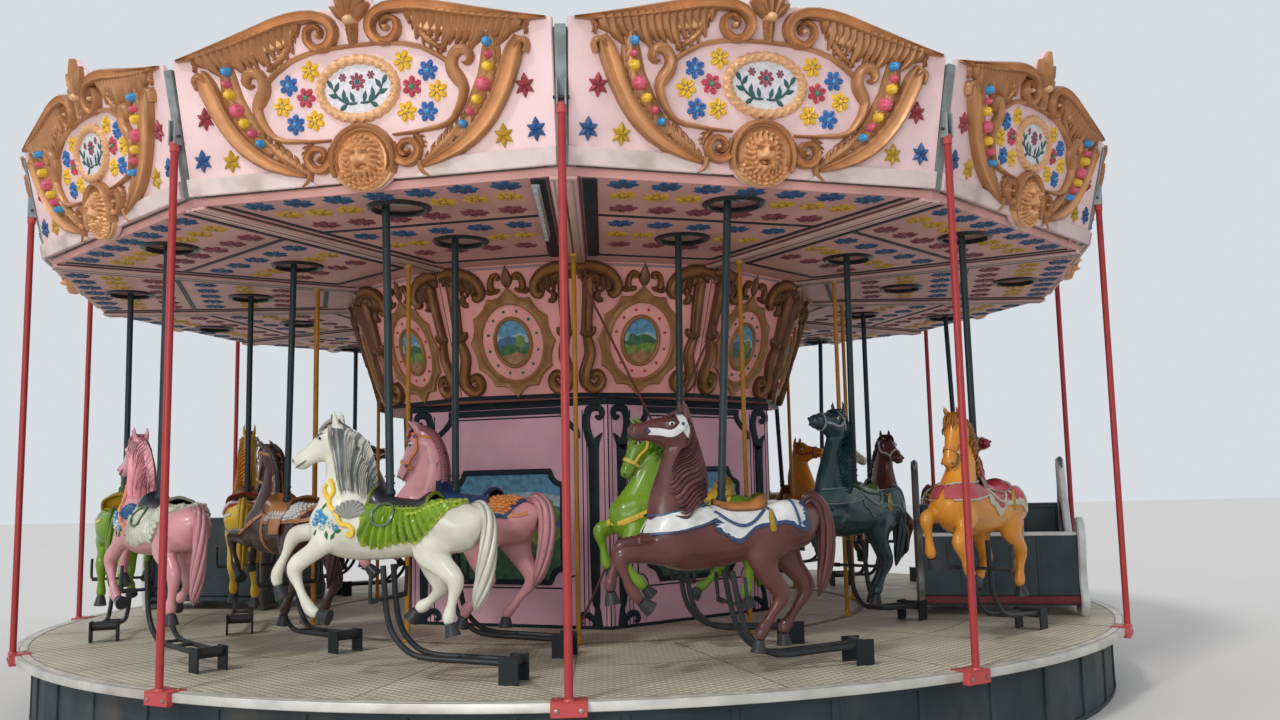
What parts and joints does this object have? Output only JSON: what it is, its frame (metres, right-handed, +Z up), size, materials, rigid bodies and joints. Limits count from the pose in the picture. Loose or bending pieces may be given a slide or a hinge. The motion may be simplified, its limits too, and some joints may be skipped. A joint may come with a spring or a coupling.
{
  "type": "fairground carousel",
  "caption": "Turning fairground carousel with swing-arm horses and bench chariots on a round deck under carved pink rounding boards.",
  "frame": {"origin": "on the ground at the centre of rotation", "axes": "+Z up along the axis of rotation; -Y through one post of the outer ring"},
  "size_m": [9.1966, 9.1966, 4.93],
  "materials": {
    "skirt": "dark teal-black painted steel, dusty",
    "deck_plate": "worn chequered plate, beige-grey",
    "rim_steel": "red painted posts on a light grey steel rim band",
    "mustard_pole": "mustard painted tube",
    "stay_red": "dark red painted rod",
    "drum_panel": "mauve-pink painted panel with dark scroll trim",
    "crown_panel": "pink fibreglass with gold-brown scrolls",
    "ceiling_panel": "pink painted sheet with embossed flowers",
    "board": "pale pink fibreglass with copper-gold carving",
    "roof": "weathered off-white roof skin",
    "horse": "painted glossy fibreglass figure on black swing arms",
    "pole_black": "blue-black painted tube",
    "chariot_shell": "silver-grey moulded edges on dark panels",
    "chariot_bench": "blue-black moulded bench"
  },
  "bodies": {
    "base": {"skirt_ring": "skirt", "centre_bearing": "skirt"},
    "platform": {"deck": "deck_plate", "rim_and_posts": "rim_steel", "inner_poles": "mustard_pole", "stay_rods_front": "stay_red", "stay_rods_back": "stay_red", "centre_drum": "drum_panel", "crown": "crown_panel", "ceiling": "ceiling_panel", "rounding_boards": "board", "roof_cover": "roof", "chariot_02_body": "chariot_shell", "chariot_02_seat": "chariot_bench", "chariot_08_body": "chariot_shell", "chariot_08_seat": "chariot_bench"},
    "horse_00_outer": {"horse_00_outer": "horse"},
    "pole_00_outer": {"pole_00_outer": "pole_black"},
    "horse_00_inner": {"horse_00_inner": "horse"},
    "pole_00_inner": {"pole_00_inner": "pole_black"},
    "horse_01_outer": {"horse_01_outer": "horse"},
    "pole_01_outer": {"pole_01_outer": "pole_black"},
    "horse_01_inner": {"horse_01_inner": "horse"},
    "pole_01_inner": {"pole_01_inner": "pole_black"},
    "horse_03_outer": {"horse_03_outer": "horse"},
    "pole_03_outer": {"pole_03_outer": "pole_black"},
    "horse_03_inner": {"horse_03_inner": "horse"},
    "pole_03_inner": {"pole_03_inner": "pole_black"},
    "horse_04_outer": {"horse_04_outer": "horse"},
    "pole_04_outer": {"pole_04_outer": "pole_black"},
    "horse_04_inner": {"horse_04_inner": "horse"},
    "pole_04_inner": {"pole_04_inner": "pole_black"},
    "horse_05_outer": {"horse_05_outer": "horse"},
    "pole_05_outer": {"pole_05_outer": "pole_black"},
    "horse_05_inner": {"horse_05_inner": "horse"},
    "pole_05_inner": {"pole_05_inner": "pole_black"},
    "horse_06_outer": {"horse_06_outer": "horse"},
    "pole_06_outer": {"pole_06_outer": "pole_black"},
    "horse_06_inner": {"horse_06_inner": "horse"},
    "pole_06_inner": {"pole_06_inner": "pole_black"},
    "horse_07_outer": {"horse_07_outer": "horse"},
    "pole_07_outer": {"pole_07_outer": "pole_black"},
    "horse_07_inner": {"horse_07_inner": "horse"},
    "pole_07_inner": {"pole_07_inner": "pole_black"},
    "horse_09_outer": {"horse_09_outer": "horse"},
    "pole_09_outer": {"pole_09_outer": "pole_black"},
    "horse_09_inner": {"horse_09_inner": "horse"},
    "pole_09_inner": {"pole_09_inner": "pole_black"},
    "horse_10_outer": {"horse_10_outer": "horse"},
    "pole_10_outer": {"pole_10_outer": "pole_black"},
    "horse_10_inner": {"horse_10_inner": "horse"},
    "pole_10_inner": {"pole_10_inner": "pole_black"},
    "horse_11_outer": {"horse_11_outer": "horse"},
    "pole_11_outer": {"pole_11_outer": "pole_black"},
    "horse_11_inner": {"horse_11_inner": "horse"},
    "pole_11_inner": {"pole_11_inner": "pole_black"}
  },
  "joints": [
    {"name": "carousel_spin", "type": "hinge", "parent": "base", "child": "platform", "pos_m": [0, 0, 0.5], "axis": [0, 0, 1], "continuous": true},
    {"name": "horse_00_outer_swing", "type": "hinge", "parent": "platform", "child": "horse_00_outer", "pos_m": [1.67389, -3.54247, 0.615], "axis": [-0.2588, 0.9659, 0], "range_deg": [-3.5, 10.5]},
    {"name": "pole_00_outer_lean", "type": "hinge", "parent": "horse_00_outer", "child": "pole_00_outer", "pos_m": [0.86792, -3.75843, 1.48067], "axis": [-0.2588, 0.9659, 0], "range_deg": [-18, 18]},
    {"name": "horse_00_inner_swing", "type": "hinge", "parent": "platform", "child": "horse_00_inner", "pos_m": [1.42854, -2.62677, 0.615], "axis": [-0.2588, 0.9659, 0], "range_deg": [-8.5, 5.5]},
    {"name": "pole_00_inner_lean", "type": "hinge", "parent": "horse_00_inner", "child": "pole_00_inner", "pos_m": [0.69851, -2.82238, 1.5501], "axis": [-0.2588, 0.9659, 0], "range_deg": [-18, 18]},
    {"name": "horse_01_outer_swing", "type": "hinge", "parent": "platform", "child": "horse_01_outer", "pos_m": [3.22087, -2.23092, 0.615], "axis": [-0.7071, 0.7071, 0], "range_deg": [-10, 4]},
    {"name": "pole_01_outer_lean", "type": "hinge", "parent": "horse_01_outer", "child": "pole_01_outer", "pos_m": [2.70395, -2.74785, 1.56957], "axis": [-0.7071, 0.7071, 0], "range_deg": [-18, 18]},
    {"name": "horse_01_inner_swing", "type": "hinge", "parent": "platform", "child": "horse_01_inner", "pos_m": [2.55053, -1.56059, 0.615], "axis": [-0.7071, 0.7071, 0], "range_deg": [-9, 5]},
    {"name": "pole_01_inner_lean", "type": "hinge", "parent": "horse_01_inner", "child": "pole_01_inner", "pos_m": [2.02191, -2.08921, 1.55666], "axis": [-0.7071, 0.7071, 0], "range_deg": [-18, 18]},
    {"name": "horse_03_outer_swing", "type": "hinge", "parent": "platform", "child": "horse_03_outer", "pos_m": [3.54247, 1.67389, 0.615], "axis": [-0.9659, -0.2588, 0], "range_deg": [-5, 9]},
    {"name": "pole_03_outer_lean", "type": "hinge", "parent": "horse_03_outer", "child": "pole_03_outer", "pos_m": [3.75249, 0.89009, 1.50222], "axis": [-0.9659, -0.2588, 0], "range_deg": [-18, 18]},
    {"name": "horse_03_inner_swing", "type": "hinge", "parent": "platform", "child": "horse_03_inner", "pos_m": [2.62677, 1.42854, 0.615], "axis": [-0.9659, -0.2588, 0], "range_deg": [-10, 4]},
    {"name": "pole_03_inner_lean", "type": "hinge", "parent": "horse_03_inner", "child": "pole_03_inner", "pos_m": [2.81598, 0.7224, 1.56957], "axis": [-0.9659, -0.2588, 0], "range_deg": [-18, 18]},
    {"name": "horse_04_outer_swing", "type": "hinge", "parent": "platform", "child": "horse_04_outer", "pos_m": [2.23092, 3.22087, 0.615], "axis": [-0.7071, -0.7071, 0], "range_deg": [-11, 3]},
    {"name": "pole_04_outer_lean", "type": "hinge", "parent": "horse_04_outer", "child": "pole_04_outer", "pos_m": [2.73599, 2.7158, 1.58218], "axis": [-0.7071, -0.7071, 0], "range_deg": [-18, 18]},
    {"name": "horse_04_inner_swing", "type": "hinge", "parent": "platform", "child": "horse_04_inner", "pos_m": [1.56059, 2.55053, 0.615], "axis": [-0.7071, -0.7071, 0], "range_deg": [-4, 10]},
    {"name": "pole_04_inner_lean", "type": "hinge", "parent": "horse_04_inner", "child": "pole_04_inner", "pos_m": [2.14523, 1.96589, 1.48792], "axis": [-0.7071, -0.7071, 0], "range_deg": [-18, 18]},
    {"name": "horse_05_outer_swing", "type": "hinge", "parent": "platform", "child": "horse_05_outer", "pos_m": [0.3216, 3.90482, 0.615], "axis": [-0.2588, -0.9659, 0], "range_deg": [-7, 7]},
    {"name": "pole_05_outer_lean", "type": "hinge", "parent": "horse_05_outer", "child": "pole_05_outer", "pos_m": [1.07502, 3.70294, 1.53], "axis": [-0.2588, -0.9659, 0], "range_deg": [-18, 18]},
    {"name": "horse_05_inner_swing", "type": "hinge", "parent": "platform", "child": "horse_05_inner", "pos_m": [0.07624, 2.98912, 0.615], "axis": [-0.2588, -0.9659, 0], "range_deg": [-10.5, 3.5]},
    {"name": "pole_05_inner_lean", "type": "hinge", "parent": "horse_05_inner", "child": "pole_05_inner", "pos_m": [0.7743, 2.80207, 1.57591], "axis": [-0.2588, -0.9659, 0], "range_deg": [-18, 18]},
    {"name": "horse_06_outer_swing", "type": "hinge", "parent": "platform", "child": "horse_06_outer", "pos_m": [-1.67389, 3.54247, 0.615], "axis": [0.2588, -0.9659, 0], "range_deg": [-4, 10]},
    {"name": "pole_06_outer_lean", "type": "hinge", "parent": "horse_06_outer", "child": "pole_06_outer", "pos_m": [-0.87525, 3.75647, 1.48792], "axis": [0.2588, -0.9659, 0], "range_deg": [-18, 18]},
    {"name": "horse_06_inner_swing", "type": "hinge", "parent": "platform", "child": "horse_06_inner", "pos_m": [-1.42854, 2.62677, 0.615], "axis": [0.2588, -0.9659, 0], "range_deg": [-8, 6]},
    {"name": "pole_06_inner_lean", "type": "hinge", "parent": "horse_06_inner", "child": "pole_06_inner", "pos_m": [-0.69065, 2.82449, 1.54347], "axis": [0.2588, -0.9659, 0], "range_deg": [-18, 18]},
    {"name": "horse_07_outer_swing", "type": "hinge", "parent": "platform", "child": "horse_07_outer", "pos_m": [-3.22087, 2.23092, 0.615], "axis": [0.7071, -0.7071, 0], "range_deg": [-10, 4]},
    {"name": "pole_07_outer_lean", "type": "hinge", "parent": "horse_07_outer", "child": "pole_07_outer", "pos_m": [-2.70395, 2.74785, 1.56957], "axis": [0.7071, -0.7071, 0], "range_deg": [-18, 18]},
    {"name": "horse_07_inner_swing", "type": "hinge", "parent": "platform", "child": "horse_07_inner", "pos_m": [-2.55053, 1.56059, 0.615], "axis": [0.7071, -0.7071, 0], "range_deg": [-5, 9]},
    {"name": "pole_07_inner_lean", "type": "hinge", "parent": "horse_07_inner", "child": "pole_07_inner", "pos_m": [-1.97675, 2.13437, 1.50222], "axis": [0.7071, -0.7071, 0], "range_deg": [-18, 18]},
    {"name": "horse_09_outer_swing", "type": "hinge", "parent": "platform", "child": "horse_09_outer", "pos_m": [-3.54247, -1.67389, 0.615], "axis": [0.9659, 0.2588, 0], "range_deg": [-5, 9]},
    {"name": "pole_09_outer_lean", "type": "hinge", "parent": "horse_09_outer", "child": "pole_09_outer", "pos_m": [-3.75249, -0.89009, 1.50222], "axis": [0.9659, 0.2588, 0], "range_deg": [-18, 18]},
    {"name": "horse_09_inner_swing", "type": "hinge", "parent": "platform", "child": "horse_09_inner", "pos_m": [-2.62677, -1.42854, 0.615], "axis": [0.9659, 0.2588, 0], "range_deg": [-10, 4]},
    {"name": "pole_09_inner_lean", "type": "hinge", "parent": "horse_09_inner", "child": "pole_09_inner", "pos_m": [-2.81598, -0.7224, 1.56957], "axis": [0.9659, 0.2588, 0], "range_deg": [-18, 18]},
    {"name": "horse_10_outer_swing", "type": "hinge", "parent": "platform", "child": "horse_10_outer", "pos_m": [-2.23092, -3.22087, 0.615], "axis": [0.7071, 0.7071, 0], "range_deg": [-9, 5]},
    {"name": "pole_10_outer_lean", "type": "hinge", "parent": "horse_10_outer", "child": "pole_10_outer", "pos_m": [-2.75955, -2.69224, 1.55666], "axis": [0.7071, 0.7071, 0], "range_deg": [-18, 18]},
    {"name": "horse_10_inner_swing", "type": "hinge", "parent": "platform", "child": "horse_10_inner", "pos_m": [-1.56059, -2.55053, 0.615], "axis": [0.7071, 0.7071, 0], "range_deg": [-6, 8]},
    {"name": "pole_10_inner_lean", "type": "hinge", "parent": "horse_10_inner", "child": "pole_10_inner", "pos_m": [-2.12334, -1.98778, 1.51625], "axis": [0.7071, 0.7071, 0], "range_deg": [-18, 18]},
    {"name": "horse_11_outer_swing", "type": "hinge", "parent": "platform", "child": "horse_11_outer", "pos_m": [-0.3216, -3.90482, 0.615], "axis": [0.2588, 0.9659, 0], "range_deg": [-9, 5]},
    {"name": "pole_11_outer_lean", "type": "hinge", "parent": "horse_11_outer", "child": "pole_11_outer", "pos_m": [-1.04372, -3.71133, 1.55666], "axis": [0.2588, 0.9659, 0], "range_deg": [-18, 18]},
    {"name": "horse_11_inner_swing", "type": "hinge", "parent": "platform", "child": "horse_11_inner", "pos_m": [-0.07624, -2.98912, 0.615], "axis": [0.2588, 0.9659, 0], "range_deg": [-9.5, 4.5]},
    {"name": "pole_11_inner_lean", "type": "hinge", "parent": "horse_11_inner", "child": "pole_11_inner", "pos_m": [-0.79039, -2.79776, 1.56315], "axis": [0.2588, 0.9659, 0], "range_deg": [-18, 18]}
  ],
  "couplings": [
    {"joint": "pole_00_outer_lean", "follows": "horse_00_outer_swing", "ratio": -1.54},
    {"joint": "pole_00_inner_lean", "follows": "horse_00_inner_swing", "ratio": -1.54},
    {"joint": "pole_01_outer_lean", "follows": "horse_01_outer_swing", "ratio": -1.54},
    {"joint": "pole_01_inner_lean", "follows": "horse_01_inner_swing", "ratio": -1.54},
    {"joint": "pole_03_outer_lean", "follows": "horse_03_outer_swing", "ratio": -1.54},
    {"joint": "pole_03_inner_lean", "follows": "horse_03_inner_swing", "ratio": -1.54},
    {"joint": "pole_04_outer_lean", "follows": "horse_04_outer_swing", "ratio": -1.54},
    {"joint": "pole_04_inner_lean", "follows": "horse_04_inner_swing", "ratio": -1.54},
    {"joint": "pole_05_outer_lean", "follows": "horse_05_outer_swing", "ratio": -1.54},
    {"joint": "pole_05_inner_lean", "follows": "horse_05_inner_swing", "ratio": -1.54},
    {"joint": "pole_06_outer_lean", "follows": "horse_06_outer_swing", "ratio": -1.54},
    {"joint": "pole_06_inner_lean", "follows": "horse_06_inner_swing", "ratio": -1.54},
    {"joint": "pole_07_outer_lean", "follows": "horse_07_outer_swing", "ratio": -1.54},
    {"joint": "pole_07_inner_lean", "follows": "horse_07_inner_swing", "ratio": -1.54},
    {"joint": "pole_09_outer_lean", "follows": "horse_09_outer_swing", "ratio": -1.54},
    {"joint": "pole_09_inner_lean", "follows": "horse_09_inner_swing", "ratio": -1.54},
    {"joint": "pole_10_outer_lean", "follows": "horse_10_outer_swing", "ratio": -1.54},
    {"joint": "pole_10_inner_lean", "follows": "horse_10_inner_swing", "ratio": -1.54},
    {"joint": "pole_11_outer_lean", "follows": "horse_11_outer_swing", "ratio": -1.54},
    {"joint": "pole_11_inner_lean", "follows": "horse_11_inner_swing", "ratio": -1.54}
  ]
}
